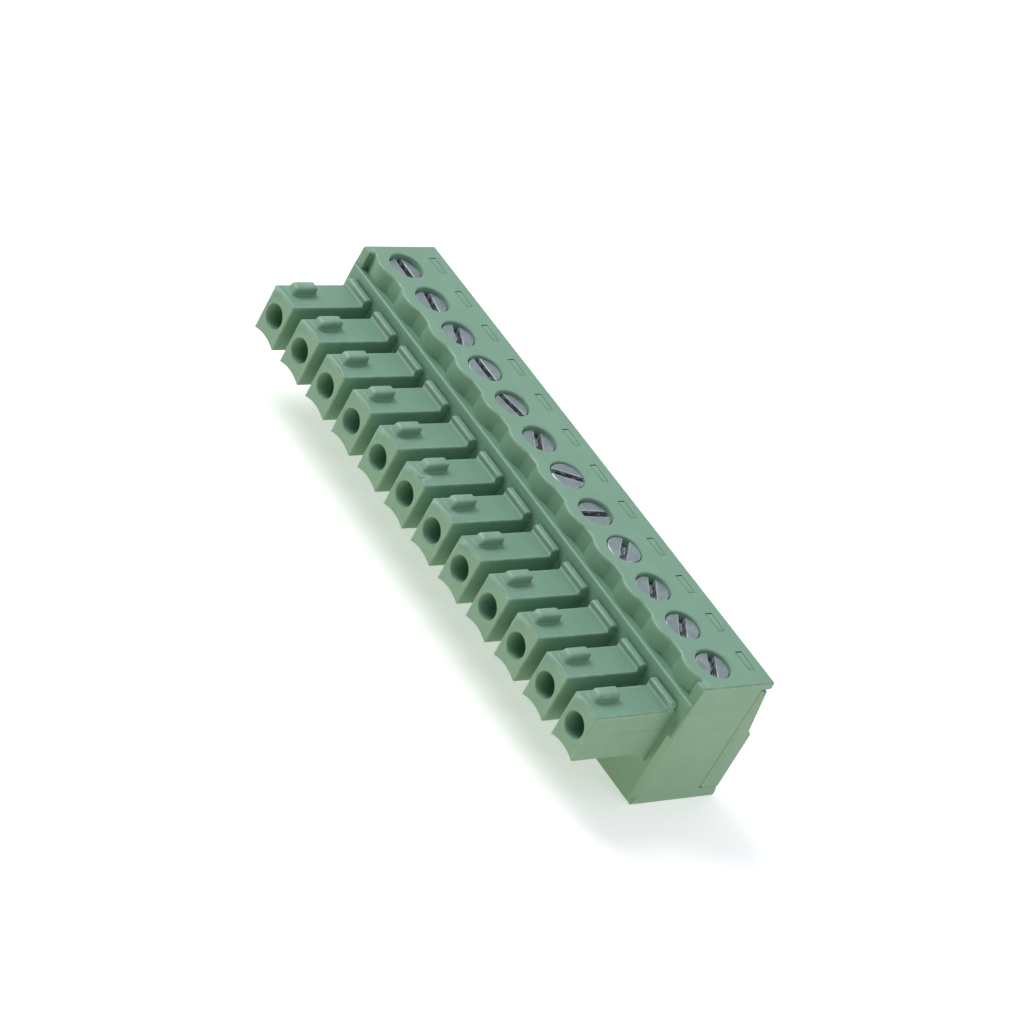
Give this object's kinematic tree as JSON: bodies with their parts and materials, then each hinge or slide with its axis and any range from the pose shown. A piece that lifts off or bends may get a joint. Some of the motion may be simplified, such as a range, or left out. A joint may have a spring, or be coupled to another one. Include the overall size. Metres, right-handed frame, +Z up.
{
  "type": "removable terminal block",
  "caption": "Pluggable screw terminal block: a comb of socket fingers in front, a scalloped tower of slotted clamp screws that raise wire cages, and a rear cover with wire funnels that clips in.",
  "frame": {"origin": "middle of the base of the whole block's box, on the surface it stands on", "axes": "+X along the row of poles, +Y to the wire side, +Z up to the screw heads"},
  "size_m": [0.0468, 0.015, 0.011],
  "materials": {
    "green_plastic": "moulded green polyamide with a fine satin surface",
    "plated_steel": "zinc plated steel, slightly worn at the slots",
    "plated_brass": "nickel plated brass",
    "tinned_bronze": "tin plated bronze strip"
  },
  "bodies": {
    "block": {"housing": "green_plastic", "rear_cover": "green_plastic", "contact_01": "tinned_bronze", "contact_02": "tinned_bronze", "contact_03": "tinned_bronze", "contact_04": "tinned_bronze", "contact_05": "tinned_bronze", "contact_06": "tinned_bronze", "contact_07": "tinned_bronze", "contact_08": "tinned_bronze", "contact_09": "tinned_bronze", "contact_10": "tinned_bronze", "contact_11": "tinned_bronze", "contact_12": "tinned_bronze"},
    "screw_01": {"clamp_screw_01": "plated_steel"},
    "cage_01": {"clamp_cage_01": "plated_brass"},
    "screw_02": {"clamp_screw_02": "plated_steel"},
    "cage_02": {"clamp_cage_02": "plated_brass"},
    "screw_03": {"clamp_screw_03": "plated_steel"},
    "cage_03": {"clamp_cage_03": "plated_brass"},
    "screw_04": {"clamp_screw_04": "plated_steel"},
    "cage_04": {"clamp_cage_04": "plated_brass"},
    "screw_05": {"clamp_screw_05": "plated_steel"},
    "cage_05": {"clamp_cage_05": "plated_brass"},
    "screw_06": {"clamp_screw_06": "plated_steel"},
    "cage_06": {"clamp_cage_06": "plated_brass"},
    "screw_07": {"clamp_screw_07": "plated_steel"},
    "cage_07": {"clamp_cage_07": "plated_brass"},
    "screw_08": {"clamp_screw_08": "plated_steel"},
    "cage_08": {"clamp_cage_08": "plated_brass"},
    "screw_09": {"clamp_screw_09": "plated_steel"},
    "cage_09": {"clamp_cage_09": "plated_brass"},
    "screw_10": {"clamp_screw_10": "plated_steel"},
    "cage_10": {"clamp_cage_10": "plated_brass"},
    "screw_11": {"clamp_screw_11": "plated_steel"},
    "cage_11": {"clamp_cage_11": "plated_brass"},
    "screw_12": {"clamp_screw_12": "plated_steel"},
    "cage_12": {"clamp_cage_12": "plated_brass"}
  },
  "joints": [
    {"name": "screw_turn_01", "type": "hinge", "parent": "block", "child": "screw_01", "pos_m": [-0.02096, 0.00241, 0.008], "axis": [0, 0, 1], "range_deg": [-1890, 0]},
    {"name": "cage_lift_01", "type": "slide", "parent": "block", "child": "cage_01", "axis": [0, 0, 1], "range_m": [0, 0.0021]},
    {"name": "screw_turn_02", "type": "hinge", "parent": "block", "child": "screw_02", "pos_m": [-0.01715, 0.00241, 0.008], "axis": [0, 0, 1], "range_deg": [-1890, 0]},
    {"name": "cage_lift_02", "type": "slide", "parent": "block", "child": "cage_02", "axis": [0, 0, 1], "range_m": [0, 0.0021]},
    {"name": "screw_turn_03", "type": "hinge", "parent": "block", "child": "screw_03", "pos_m": [-0.01333, 0.00241, 0.008], "axis": [0, 0, 1], "range_deg": [-1890, 0]},
    {"name": "cage_lift_03", "type": "slide", "parent": "block", "child": "cage_03", "axis": [0, 0, 1], "range_m": [0, 0.0021]},
    {"name": "screw_turn_04", "type": "hinge", "parent": "block", "child": "screw_04", "pos_m": [-0.00953, 0.00241, 0.008], "axis": [0, 0, 1], "range_deg": [-1890, 0]},
    {"name": "cage_lift_04", "type": "slide", "parent": "block", "child": "cage_04", "axis": [0, 0, 1], "range_m": [0, 0.0021]},
    {"name": "screw_turn_05", "type": "hinge", "parent": "block", "child": "screw_05", "pos_m": [-0.00571, 0.00241, 0.008], "axis": [0, 0, 1], "range_deg": [-1890, 0]},
    {"name": "cage_lift_05", "type": "slide", "parent": "block", "child": "cage_05", "axis": [0, 0, 1], "range_m": [0, 0.0021]},
    {"name": "screw_turn_06", "type": "hinge", "parent": "block", "child": "screw_06", "pos_m": [-0.00191, 0.00241, 0.008], "axis": [0, 0, 1], "range_deg": [-1890, 0]},
    {"name": "cage_lift_06", "type": "slide", "parent": "block", "child": "cage_06", "axis": [0, 0, 1], "range_m": [0, 0.0021]},
    {"name": "screw_turn_07", "type": "hinge", "parent": "block", "child": "screw_07", "pos_m": [0.00191, 0.00241, 0.008], "axis": [0, 0, 1], "range_deg": [-1890, 0]},
    {"name": "cage_lift_07", "type": "slide", "parent": "block", "child": "cage_07", "axis": [0, 0, 1], "range_m": [0, 0.0021]},
    {"name": "screw_turn_08", "type": "hinge", "parent": "block", "child": "screw_08", "pos_m": [0.00571, 0.00241, 0.008], "axis": [0, 0, 1], "range_deg": [-1890, 0]},
    {"name": "cage_lift_08", "type": "slide", "parent": "block", "child": "cage_08", "axis": [0, 0, 1], "range_m": [0, 0.0021]},
    {"name": "screw_turn_09", "type": "hinge", "parent": "block", "child": "screw_09", "pos_m": [0.00953, 0.00241, 0.008], "axis": [0, 0, 1], "range_deg": [-1890, 0]},
    {"name": "cage_lift_09", "type": "slide", "parent": "block", "child": "cage_09", "axis": [0, 0, 1], "range_m": [0, 0.0021]},
    {"name": "screw_turn_10", "type": "hinge", "parent": "block", "child": "screw_10", "pos_m": [0.01333, 0.00241, 0.008], "axis": [0, 0, 1], "range_deg": [-1890, 0]},
    {"name": "cage_lift_10", "type": "slide", "parent": "block", "child": "cage_10", "axis": [0, 0, 1], "range_m": [0, 0.0021]},
    {"name": "screw_turn_11", "type": "hinge", "parent": "block", "child": "screw_11", "pos_m": [0.01715, 0.00241, 0.008], "axis": [0, 0, 1], "range_deg": [-1890, 0]},
    {"name": "cage_lift_11", "type": "slide", "parent": "block", "child": "cage_11", "axis": [0, 0, 1], "range_m": [0, 0.0021]},
    {"name": "screw_turn_12", "type": "hinge", "parent": "block", "child": "screw_12", "pos_m": [0.02096, 0.00241, 0.008], "axis": [0, 0, 1], "range_deg": [-1890, 0]},
    {"name": "cage_lift_12", "type": "slide", "parent": "block", "child": "cage_12", "axis": [0, 0, 1], "range_m": [0, 0.0021]}
  ],
  "couplings": [
    {"joint": "screw_turn_01", "follows": "cage_lift_01", "rad_per_m": -15708},
    {"joint": "screw_turn_02", "follows": "cage_lift_02", "rad_per_m": -15708},
    {"joint": "screw_turn_03", "follows": "cage_lift_03", "rad_per_m": -15708},
    {"joint": "screw_turn_04", "follows": "cage_lift_04", "rad_per_m": -15708},
    {"joint": "screw_turn_05", "follows": "cage_lift_05", "rad_per_m": -15708},
    {"joint": "screw_turn_06", "follows": "cage_lift_06", "rad_per_m": -15708},
    {"joint": "screw_turn_07", "follows": "cage_lift_07", "rad_per_m": -15708},
    {"joint": "screw_turn_08", "follows": "cage_lift_08", "rad_per_m": -15708},
    {"joint": "screw_turn_09", "follows": "cage_lift_09", "rad_per_m": -15708},
    {"joint": "screw_turn_10", "follows": "cage_lift_10", "rad_per_m": -15708},
    {"joint": "screw_turn_11", "follows": "cage_lift_11", "rad_per_m": -15708},
    {"joint": "screw_turn_12", "follows": "cage_lift_12", "rad_per_m": -15708}
  ]
}
